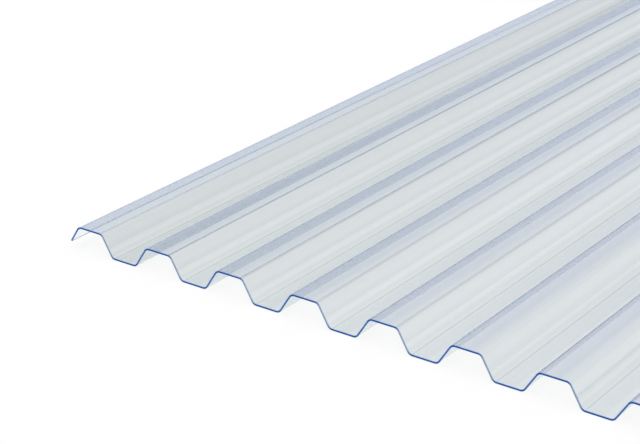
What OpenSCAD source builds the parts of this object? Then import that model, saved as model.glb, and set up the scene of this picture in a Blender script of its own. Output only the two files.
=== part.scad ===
// Trapezoidal roofing sheet: one clear plastic sheet, formed into trapezoidal ribs along its length.
// X runs across the ribs, Y along them, and Z is up. The origin is under the middle of the sheet,
// on the plane that its troughs rest on. All sizes are in millimetres.

/* [Sheet] */
// Length of the sheet along its ribs
sheet_length = 2000; // [500:50:6000]
// Thickness of the plastic
thickness = 1.4; // [0.8:0.1:2]

/* [Ribs] */
// Number of crests across the sheet, with a trough between each two
crest_count = 16; // [2:1:20]
// Distance from one crest to the next
pitch = 70; // [60:1:90]
// Depth of the ribs, from the top of a crest down to the floor of a trough
rib_depth = 18; // [14:0.5:25]
// Width of a crest, between the corners that its bends round off
crest_width = 24; // [16:0.5:28]
// Width of a trough's floor, between the corners that its bends round off
trough_width = 24; // [16:0.5:28]
// Radius on the inside of every bend
bend_radius = 4; // [2:0.25:5]

/* [Side edges] */
// Height of the free leg at either side edge, from the top of the crest down to the leg's tip
leg_height = 14.5; // [12:0.5:17]

/* [Hidden] */

// Flats that each bend is drawn with
bend_steps = 6;
// Radius of a bend along the middle of the plastic
middle_radius = bend_radius + thickness / 2;
// Level of the middle of the plastic in a trough and on a crest
trough_level = thickness / 2;
crest_level = trough_level + rib_depth;
// Sideways run of a flank between its two corners, and its slope
flank_run = (pitch - crest_width - trough_width) / 2;
flank_slope = atan2(rib_depth, flank_run);
// Drop and sideways run of a free leg, which slopes as a flank does
leg_drop = leg_height - thickness / 2 * (1 + cos(flank_slope));
leg_run = flank_run * leg_drop / rib_depth;
// Distance from the first crest's left corner to the last crest's right corner
crests_span = (crest_count - 1) * pitch + crest_width;

// Corners of the section's middle line, from the left side edge to the right one
section_corners = [
    [-crests_span / 2 - leg_run, crest_level - leg_drop],
    for (rib = [0 : crest_count - 2]) each rib_corners(rib * pitch - crests_span / 2),
    [crests_span / 2 - crest_width, crest_level],
    [crests_span / 2, crest_level],
    [crests_span / 2 + leg_run, crest_level - leg_drop]
];

// The four corners of one crest and the trough to its right
function rib_corners(left) = [
    [left, crest_level],
    [left + crest_width, crest_level],
    [left + crest_width + flank_run, trough_level],
    [left + pitch - flank_run, trough_level]
];

// Unit vector from one point towards another, and a vector turned a quarter to its left
function direction(from, to) = (to - from) / norm(to - from);
function left_of(vector) = [-vector.y, vector.x];

// Points along one face of the plastic round a bend, where the face lies `side` to the left of
// the middle line. Both faces turn about one centre, so the thickness stays the same.
function bend_points(before, corner, after, side) =
    let (
        way_in = direction(before, corner),
        way_out = direction(corner, after),
        turn = atan2(left_of(way_in) * way_out, way_in * way_out),
        hand = sign(turn),
        reach = middle_radius * tan(abs(turn) / 2),
        centre = corner - reach * way_in + hand * middle_radius * left_of(way_in),
        face_radius = middle_radius - hand * side
    )
    [
        for (step = [0 : bend_steps])
            let (angle = turn * step / bend_steps)
            centre - hand * face_radius * (cos(angle) * left_of(way_in) - sin(angle) * way_in)
    ];

// One face of the plastic across the whole section, from the left side edge to the right one
function face_points(side) =
    let (
        corners = section_corners,
        last = len(corners) - 1,
        first_left = left_of(direction(corners[0], corners[1])),
        last_left = left_of(direction(corners[last - 1], corners[last]))
    )
    [
        corners[0] + side * first_left,
        for (i = [1 : last - 1]) each bend_points(corners[i - 1], corners[i], corners[i + 1], side),
        corners[last] + side * last_left
    ];

function reversed(points) = [for (i = [len(points) - 1 : -1 : 0]) points[i]];

module section() {
    polygon(concat(face_points(thickness / 2), reversed(face_points(-thickness / 2))));
}

module sheet() {
    color([0.80, 0.86, 0.92, 0.45])
        rotate([90, 0, 0])
            linear_extrude(height = sheet_length, center = true)
                section();
}

sheet();
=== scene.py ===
import math

import bpy
from mathutils import Euler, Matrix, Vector


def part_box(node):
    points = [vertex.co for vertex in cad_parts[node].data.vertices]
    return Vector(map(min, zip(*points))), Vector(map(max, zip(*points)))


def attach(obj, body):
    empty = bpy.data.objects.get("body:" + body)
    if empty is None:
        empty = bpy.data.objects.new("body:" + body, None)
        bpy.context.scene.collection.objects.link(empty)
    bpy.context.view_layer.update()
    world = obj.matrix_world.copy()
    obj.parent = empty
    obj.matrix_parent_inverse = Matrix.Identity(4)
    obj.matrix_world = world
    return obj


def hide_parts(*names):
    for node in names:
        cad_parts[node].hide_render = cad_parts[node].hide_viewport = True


MM = 0.001
BLACK = (0, 0, 0)
WHITE = (1, 1, 1)

# The sheet's section, which is that of the CAD part.
PITCH = 70 * MM
CREST_WIDTH = 24 * MM
TROUGH_WIDTH = 24 * MM
THICKNESS = 1.4 * MM
BEND_RADIUS = 4 * MM

# How finely the visual sheet is made.
BEND_STEPS = 10
FLAT_STEPS = 6
LENGTH_STEPS = 20
EDGE_BREAK = 0.3 * MM  # the sawn edges are broken by hand, this much
SHARP_ANGLE = math.radians(30)

# The mesh's material slots.
PLASTIC = 0
SAWN = 1

# Where the camera stands, and where it looks, as fitted to the photograph.
CAMERA_PLACE = Vector((417.4, -2048.4, 631.4)) * MM
CAMERA_AZIMUTH = math.radians(34.445)
CAMERA_ELEVATION = math.radians(23.28)
CAMERA_ROLL = math.radians(0.94)
CAMERA_LENS = 107.2
SENSOR_WIDTH = 36
CAMERA_REACH = 100

# The plastic: how it bends light, and what its depth takes out of it.
PVC_IOR = 1.53
DEPTH_COLOUR = (0.0, 0.36, 0.48, 1)
DEPTH_DENSITY = 60
LEAST_ROUGHNESS = 0.01

# The streaks along the ribs. Half of them are alike on every rib, and half are each rib's own.
# Their tint is partly painted light: the half alike on every rib stands in for the streaks of light
# and shade that the bends cast on the floor beneath.
SHARED_STREAK_SCALE = 420
OWN_STREAK_SCALE = 300
STREAK_DETAIL = 4
STREAK_PACE_ALONG = 0.002  # how fast they change along the ribs, against across them
STREAK_TINT = 0.09
STREAK_ROUGHNESS = 0.03
STREAK_BUMP = 0.005 * MM

# What the surfaces let through, band by band: the plastic's own faint tint, and painted light and
# shade. The fold lines, the bends, the shaded bands and the dark line are painted shade, the bright
# line and the pale bands are painted light, and the crests' lavender and the flanks' green are
# painted reflection, for the room reflected in the sheet and the shadows and bright streaks that
# its bends cast on the floor beneath.
PAINTED_FOLD_SHADE = (0.55, 0.635, 0.89)
FOLD = (1.0, 1.0, 1.0)
CREST = (0.86, 0.872, 0.93)
SHADED_CREST = (0.825, 0.858, 0.89)
PALE_CREST = (0.88, 0.90, 0.915)
SHADED_BEND = (0.75, 0.78, 0.81)
FLANK = (0.875, 0.89, 0.875)
SHADED_FLANK = (0.828, 0.85, 0.835)
PAINTED_HIGHLIGHT_LINE = (1.0, 1.0, 0.98)
PAINTED_SHADE_LINE = (0.69, 0.725, 0.75)
TROUGH = (0.90, 0.92, 0.915)
PALE_TROUGH = (0.94, 0.96, 0.95)
INNER_FLANK = (1.0, 1.0, 1.0)

# Painted reflection of the blue sawn ends, as they show in the surface next to them, and how far it
# reaches.
PAINTED_END_REFLECTION = (0.0, 0.12, 0.50)
END_REACH = 1.3 * MM

# The blue of the sawn edges, which is deep on crests and troughs, pale on the flank to the right
# of a crest and in between on the one to its left, and their saw marks. The paler blues are painted
# light, for the light that comes out through the flanks' sawn edges.
DEEP_EDGE = (0.0, 0.10, 0.40)
PAINTED_LIGHT_EDGE = (0.28, 0.385, 0.55)
INNER_EDGE = (0.06, 0.18, 0.46)
EDGE_SPECULAR = 0.1
EDGE_LEAST_ROUGHNESS = 0.35
SAW_SCALE = 900
SAW_DETAIL = 3
SAW_PACE_UP = 0.15  # how fast the marks change upwards, against sideways
SAW_TINT = 0.5
SAW_ROUGHNESS = 0.3
SAW_BUMP = 0.03 * MM

# Tint with painted light and shade across each rib, from one crest's left corner to the next:
# (millimetres, colour).
TINT_AND_PAINTED_LIGHT_ACROSS_RIB = [
    (0, PAINTED_FOLD_SHADE), (0.5, FOLD), (2.2, FOLD), (3, CREST), (9, CREST),
    (12, SHADED_CREST), (15, SHADED_CREST), (19, PALE_CREST), (22, PALE_CREST),
    (22.5, SHADED_BEND), (23.2, SHADED_BEND), (24.2, FLANK), (28.5, FLANK),
    (29.6, SHADED_FLANK), (30.8, SHADED_FLANK), (31.8, PAINTED_HIGHLIGHT_LINE), (32.8, FLANK),
    (36.4, FLANK), (37.2, PAINTED_SHADE_LINE), (38, TROUGH), (50, TROUGH),
    (53, PALE_TROUGH), (58, PALE_TROUGH), (60, INNER_FLANK), (69, INNER_FLANK),
    (69.3, PAINTED_FOLD_SHADE),
]
EDGE_BLUE_WITH_PAINTED_LIGHT = [
    (0, DEEP_EDGE), (23, DEEP_EDGE), (26, PAINTED_LIGHT_EDGE), (33, PAINTED_LIGHT_EDGE),
    (36, DEEP_EDGE), (58, DEEP_EDGE), (61, INNER_EDGE), (68, INNER_EDGE),
    (70, DEEP_EDGE),
]

# Painted light and shade: bends, and flanks with troughs, are a little darker or lighter from rib to
# rib, as the light and reflections fall on each rib. Each row has the tone's reach, the least tone,
# the spread above it and the seed for the draws. The seeds were picked so that the ribs in the
# photograph come out much as they are there.
BEND_REACH = [(21.9, BLACK), (22.5, WHITE), (23.2, WHITE), (23.8, BLACK)]
FLANK_REACH = [(23.5, BLACK), (24.2, WHITE), (64, WHITE), (67, BLACK)]
RIB_PAINTED_LIGHT = [(BEND_REACH, 0.8, 0.34, 276368), (FLANK_REACH, 0.925, 0.105, 29191)]

# The studio: the floor's colour and how much of it is seen as plain white, and the room's light
# by the height that it comes from, where 0 is level and 1 is overhead.
FLOOR_COLOUR = (0.98, 0.98, 0.98, 1)
FLOOR_SIZE = 120
FLOOR_GAP = 0.2 * MM  # from the floor up to the sheet
FLOOR_GLOW = 0.88
ROOM_STRENGTH = 2
ROOM_LIGHT = [
    (0.0, (0.47, 0.475, 0.50)), (0.22, (0.30, 0.315, 0.40)), (0.42, (0.17, 0.18, 0.24)),
    (0.7, (0.375, 0.375, 0.38)), (1.0, (1.04, 1.025, 0.965)),
]

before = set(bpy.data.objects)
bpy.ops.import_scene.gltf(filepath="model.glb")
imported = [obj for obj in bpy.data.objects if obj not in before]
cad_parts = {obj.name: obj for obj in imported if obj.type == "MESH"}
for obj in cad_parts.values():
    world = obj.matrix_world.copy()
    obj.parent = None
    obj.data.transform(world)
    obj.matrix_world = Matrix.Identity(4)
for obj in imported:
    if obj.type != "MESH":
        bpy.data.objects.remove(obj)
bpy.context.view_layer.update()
low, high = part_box("sheet")


# ---------------------------------------------------------------- shape

def corners_of_section():
    """The sharp corners of the section's middle line, as (x, z), from the left side edge."""
    trough_level = low.z + THICKNESS / 2
    crest_level = high.z - THICKNESS / 2
    flank_run = (PITCH - CREST_WIDTH - TROUGH_WIDTH) / 2
    flank_slope = math.atan2(crest_level - trough_level, flank_run)
    crests = round((high.x - low.x - CREST_WIDTH) / PITCH) + 1
    span = (crests - 1) * PITCH + CREST_WIDTH
    leg_run = (high.x - low.x - span - THICKNESS * math.sin(flank_slope)) / 2
    leg_end = crest_level - leg_run * math.tan(flank_slope)
    corners = [(-span / 2 - leg_run, leg_end)]
    for rib in range(crests):
        left = rib * PITCH - span / 2
        corners += [(left, crest_level), (left + CREST_WIDTH, crest_level)]
        if rib < crests - 1:
            corners += [(left + CREST_WIDTH + flank_run, trough_level),
                        (left + PITCH - flank_run, trough_level)]
    corners.append((span / 2 + leg_run, leg_end))
    return [Vector(c) for c in corners]


def left_of(v):
    return Vector((-v.y, v.x))


def middle_line(corners):
    """Points along the middle of the plastic, each with the unit vector to its left."""
    radius = BEND_RADIUS + THICKNESS / 2
    ways = [(b - a).normalized() for a, b in zip(corners, corners[1:])]
    line = [(corners[0], left_of(ways[0]))]
    for corner, way_in, way_out in zip(corners[1:], ways, ways[1:]):
        turn = math.atan2(left_of(way_in).dot(way_out), way_in.dot(way_out))
        hand = math.copysign(1, turn)
        start = corner - way_in * radius * math.tan(abs(turn) / 2)
        centre = start + left_of(way_in) * hand * radius
        last = line[-1][0]
        for step in range(1, FLAT_STEPS):
            line.append((last.lerp(start, step / FLAT_STEPS), left_of(way_in)))
        for step in range(BEND_STEPS + 1):
            angle = turn * step / BEND_STEPS
            left = left_of(way_in) * math.cos(angle) - way_in * math.sin(angle)
            line.append((centre - left * hand * radius, left))
    last = line[-1][0]
    for step in range(1, FLAT_STEPS + 1):
        line.append((last.lerp(corners[-1], step / FLAT_STEPS), left_of(ways[-1])))
    return line


def sheet_mesh():
    """One closed mesh: the two faces, the two side edges and the two sawn ends with broken edges."""
    line = middle_line(corners_of_section())
    half = THICKNESS / 2

    def ring(y, inset):
        top = [p + left * (half - inset) for p, left in line]
        under = [p - left * (half - inset) for p, left in reversed(line)]
        return [(p.x, y, p.y) for p in top + under]

    steps = [low.y + (high.y - low.y) * step / LENGTH_STEPS for step in range(1, LENGTH_STEPS)]
    full = [ring(y, 0) for y in (low.y + EDGE_BREAK, *steps, high.y - EDGE_BREAK)]
    rings = [ring(low.y, EDGE_BREAK), *full, ring(high.y, EDGE_BREAK)]
    around = len(rings[0])
    count = len(line)
    near, far = 0, len(rings) - 1

    def point(r, i):
        return r * around + i % around

    faces = []
    slots = []
    for r in range(far):
        for i in range(around):
            faces.append((point(r, i), point(r, i + 1), point(r + 1, i + 1), point(r + 1, i)))
            at_end = r in (near, far - 1)
            at_side = i in (count - 1, around - 1)
            slots.append(SAWN if at_end or at_side else PLASTIC)
    for r in (near, far):
        for i in range(count - 1):
            quad = (point(r, i), point(r, i + 1), point(r, -2 - i), point(r, -1 - i))
            faces.append((quad[0], *quad[:0:-1]) if r == near else quad)
            slots.append(SAWN)
    mesh = bpy.data.meshes.new("clear_sheet")
    mesh.from_pydata([p for r in rings for p in r], [], faces)
    mesh.polygons.foreach_set("material_index", slots)
    mesh.update()
    return mesh


# ---------------------------------------------------------------- materials

def new_material(name):
    """A material with an empty node tree, and its output node."""
    material = bpy.data.materials.new(name)
    material.use_nodes = True
    material.node_tree.nodes.clear()
    return material, material.node_tree.nodes.new("ShaderNodeOutputMaterial")


def maths(tree, operation, *values):
    """The output of a Math node on numbers and sockets."""
    node = tree.nodes.new("ShaderNodeMath")
    node.operation = operation
    for socket, value in zip(node.inputs, values):
        if isinstance(value, bpy.types.NodeSocket):
            tree.links.new(value, socket)
        else:
            socket.default_value = value
    return node.outputs[0]


def colour_ramp(tree, position, stops):
    """The output of a Color Ramp with (position, colour) stops."""
    node = tree.nodes.new("ShaderNodeValToRGB")
    elements = node.color_ramp.elements
    elements.remove(elements[1])
    elements[0].position = stops[0][0]
    elements[0].color = (*stops[0][1], 1)
    for place, colour in stops[1:]:
        elements.new(place).color = (*colour, 1)
    tree.links.new(position, node.inputs["Fac"])
    return node.outputs["Color"]


def across_rib(tree, across, stops):
    """A colour that changes across each rib, from (millimetres, colour) stops."""
    return colour_ramp(tree, across, [(place * MM / PITCH, colour) for place, colour in stops])


def multiplied(tree, a, b):
    """The product of two colours, or of a colour and a number."""
    node = tree.nodes.new("ShaderNodeVectorMath")
    node.operation = "MULTIPLY"
    tree.links.new(a, node.inputs[0])
    tree.links.new(b, node.inputs[1])
    return node.outputs[0]


def flat_noise(tree, x, y, scale, detail):
    """Noise over two sockets in metres."""
    place = tree.nodes.new("ShaderNodeCombineXYZ")
    tree.links.new(x, place.inputs["X"])
    tree.links.new(y, place.inputs["Y"])
    node = tree.nodes.new("ShaderNodeTexNoise")
    node.noise_dimensions = "2D"
    node.inputs["Scale"].default_value = scale
    node.inputs["Detail"].default_value = detail
    tree.links.new(place.outputs[0], node.inputs["Vector"])
    return node.outputs["Fac"]


def bumped(tree, shader, height, distance):
    """Gives a shader a bump from a height."""
    bump = tree.nodes.new("ShaderNodeBump")
    bump.inputs["Distance"].default_value = distance
    tree.links.new(height, bump.inputs["Height"])
    tree.links.new(bump.outputs[0], shader.inputs["Normal"])


def place_on_sheet(tree):
    """Sockets for a point's X, Y and Z in metres, and one that counts the ribs to its left."""
    place = tree.nodes.new("ShaderNodeTexCoord")
    split = tree.nodes.new("ShaderNodeSeparateXYZ")
    tree.links.new(place.outputs["Object"], split.inputs[0])
    first_crest = corners_of_section()[1].x
    ribs = maths(tree, "MULTIPLY_ADD", split.outputs["X"], 1 / PITCH, -first_crest / PITCH)
    return split.outputs, ribs


def painted_rib_light(tree, ribs, across, reach, least, spread, seed):
    """A factor of painted light and shade that is each rib's own where the reach is white, and 1
    where it is black.
    """
    drawn = tree.nodes.new("ShaderNodeTexWhiteNoise")
    drawn.noise_dimensions = "1D"
    tree.links.new(maths(tree, "ADD", maths(tree, "FLOOR", ribs), seed), drawn.inputs["W"])
    own = maths(tree, "MULTIPLY_ADD", drawn.outputs["Value"], spread, least - 1)
    return maths(tree, "MULTIPLY_ADD", across_rib(tree, across, reach), own, 1)


def drawn_streaks(tree, place, across):
    """Fine streaks drawn out along the ribs, as a number from 0 to 1."""
    along = maths(tree, "MULTIPLY", place["Y"], STREAK_PACE_ALONG)
    from_crest = maths(tree, "MULTIPLY", across, PITCH)
    shared = flat_noise(tree, from_crest, along, SHARED_STREAK_SCALE, STREAK_DETAIL)
    own = flat_noise(tree, place["X"], along, OWN_STREAK_SCALE, STREAK_DETAIL)
    return maths(tree, "MULTIPLY", maths(tree, "ADD", shared, own), 0.5)


def painted_end_reflection(tree, place):
    """The painted reflection of a sawn end: its blue next to the end, and white from there on."""
    past_middle = maths(tree, "ABSOLUTE", place["Y"])
    from_end = maths(tree, "MULTIPLY_ADD", past_middle, -1 / END_REACH, high.y / END_REACH)
    return colour_ramp(tree, from_end, [(0, PAINTED_END_REFLECTION), (1, WHITE)])


def clear_pvc():
    """Clear plastic, faintly blue in its depth, with painted light and shade in lines and bands
    along the ribs, and fine streaks.
    """
    material, out = new_material("clear_pvc")
    tree = material.node_tree
    place, ribs = place_on_sheet(tree)
    across = maths(tree, "FRACT", ribs)
    streaks = drawn_streaks(tree, place, across)
    # The plastic's tint, with the bands' painted light and shade and the sawn ends' painted
    # reflection.
    bands = across_rib(tree, across, TINT_AND_PAINTED_LIGHT_ACROSS_RIB)
    tint_and_painted_light = multiplied(tree, bands, painted_end_reflection(tree, place))
    strength = maths(tree, "MULTIPLY_ADD", streaks, -STREAK_TINT, 1 + STREAK_TINT / 2)
    for row in RIB_PAINTED_LIGHT:
        strength = maths(tree, "MULTIPLY", strength, painted_rib_light(tree, ribs, across, *row))
    roughness = maths(tree, "MULTIPLY_ADD", streaks, STREAK_ROUGHNESS, LEAST_ROUGHNESS)
    shader = tree.nodes.new("ShaderNodeBsdfPrincipled")
    shader.inputs["Transmission Weight"].default_value = 1
    shader.inputs["IOR"].default_value = PVC_IOR
    tree.links.new(multiplied(tree, tint_and_painted_light, strength), shader.inputs["Base Color"])
    tree.links.new(roughness, shader.inputs["Roughness"])
    bumped(tree, shader, streaks, STREAK_BUMP)
    depth = tree.nodes.new("ShaderNodeVolumeAbsorption")
    depth.inputs["Color"].default_value = DEPTH_COLOUR
    depth.inputs["Density"].default_value = DEPTH_DENSITY
    tree.links.new(shader.outputs[0], out.inputs["Surface"])
    tree.links.new(depth.outputs[0], out.inputs["Volume"])
    return material


def sawn_edge():
    """The blue that gathers in the sawn edges, with painted light that makes it paler on the flanks,
    and fine saw marks.
    """
    material, out = new_material("sawn_edge")
    tree = material.node_tree
    place, ribs = place_on_sheet(tree)
    sideways = maths(tree, "ADD", place["X"], place["Y"])
    upwards = maths(tree, "MULTIPLY", place["Z"], SAW_PACE_UP)
    marks = flat_noise(tree, sideways, upwards, SAW_SCALE, SAW_DETAIL)
    blue = across_rib(tree, maths(tree, "FRACT", ribs), EDGE_BLUE_WITH_PAINTED_LIGHT)
    strength = maths(tree, "MULTIPLY_ADD", marks, SAW_TINT, 1 - SAW_TINT / 2)
    roughness = maths(tree, "MULTIPLY_ADD", marks, SAW_ROUGHNESS, EDGE_LEAST_ROUGHNESS)
    shader = tree.nodes.new("ShaderNodeBsdfPrincipled")
    shader.inputs["Specular IOR Level"].default_value = EDGE_SPECULAR
    tree.links.new(multiplied(tree, blue, strength), shader.inputs["Base Color"])
    tree.links.new(roughness, shader.inputs["Roughness"])
    bumped(tree, shader, marks, SAW_BUMP)
    tree.links.new(shader.outputs[0], out.inputs["Surface"])
    return material


def white_floor():
    """A white floor, seen as plain white for the most part and otherwise with its shadows."""
    material, out = new_material("white_floor")
    tree = material.node_tree
    matte = tree.nodes.new("ShaderNodeBsdfDiffuse")
    matte.inputs["Color"].default_value = FLOOR_COLOUR
    plain = tree.nodes.new("ShaderNodeEmission")
    path = tree.nodes.new("ShaderNodeLightPath").outputs
    seen = maths(tree, "MAXIMUM", path["Is Camera Ray"], path["Is Glossy Ray"])
    seen = maths(tree, "MAXIMUM", seen, path["Is Transmission Ray"])
    mix = tree.nodes.new("ShaderNodeMixShader")
    tree.links.new(maths(tree, "MULTIPLY", seen, FLOOR_GLOW), mix.inputs["Fac"])
    tree.links.new(matte.outputs[0], mix.inputs[1])
    tree.links.new(plain.outputs[0], mix.inputs[2])
    tree.links.new(mix.outputs[0], out.inputs["Surface"])
    return material


# ---------------------------------------------------------------- object and studio

def make_sheet():
    mesh = sheet_mesh()
    mesh.materials.append(clear_pvc())
    mesh.materials.append(sawn_edge())
    mesh.polygons.foreach_set("use_smooth", [True] * len(mesh.polygons))
    mesh.set_sharp_from_angle(angle=SHARP_ANGLE)
    sheet = bpy.data.objects.new("clear_sheet", mesh)
    bpy.context.scene.collection.objects.link(sheet)
    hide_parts("sheet")
    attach(sheet, "root")


def make_floor():
    half = FLOOR_SIZE / 2
    corners = [(-half, -half, 0), (half, -half, 0), (half, half, 0), (-half, half, 0)]
    mesh = bpy.data.meshes.new("floor")
    mesh.from_pydata(corners, [], [(0, 1, 2, 3)])
    mesh.materials.append(white_floor())
    floor = bpy.data.objects.new("floor", mesh)
    floor.location.z = low.z - FLOOR_GAP
    bpy.context.scene.collection.objects.link(floor)


def make_room():
    """Soft light from all round, brightest overhead."""
    world = bpy.data.worlds.new("room")
    bpy.context.scene.world = world
    world.use_nodes = True
    tree = world.node_tree
    tree.nodes.clear()
    place = tree.nodes.new("ShaderNodeTexCoord")
    split = tree.nodes.new("ShaderNodeSeparateXYZ")
    tree.links.new(place.outputs["Generated"], split.inputs[0])
    light = tree.nodes.new("ShaderNodeBackground")
    light.inputs["Strength"].default_value = ROOM_STRENGTH
    tree.links.new(colour_ramp(tree, split.outputs["Z"], ROOM_LIGHT), light.inputs["Color"])
    out = tree.nodes.new("ShaderNodeOutputWorld")
    tree.links.new(light.outputs[0], out.inputs["Surface"])


def make_camera():
    data = bpy.data.cameras.new("camera")
    data.lens = CAMERA_LENS
    data.sensor_width = SENSOR_WIDTH
    data.clip_end = CAMERA_REACH
    camera = bpy.data.objects.new("camera", data)
    camera.location = CAMERA_PLACE
    turn = Euler((math.pi / 2 - CAMERA_ELEVATION, 0, CAMERA_AZIMUTH)).to_matrix()
    roll = Euler((0, 0, CAMERA_ROLL)).to_matrix()
    camera.rotation_euler = (turn @ roll).to_euler()
    bpy.context.scene.collection.objects.link(camera)
    bpy.context.scene.camera = camera


make_sheet()
make_floor()
make_room()
make_camera()
bpy.context.scene.view_settings.view_transform = "Standard"
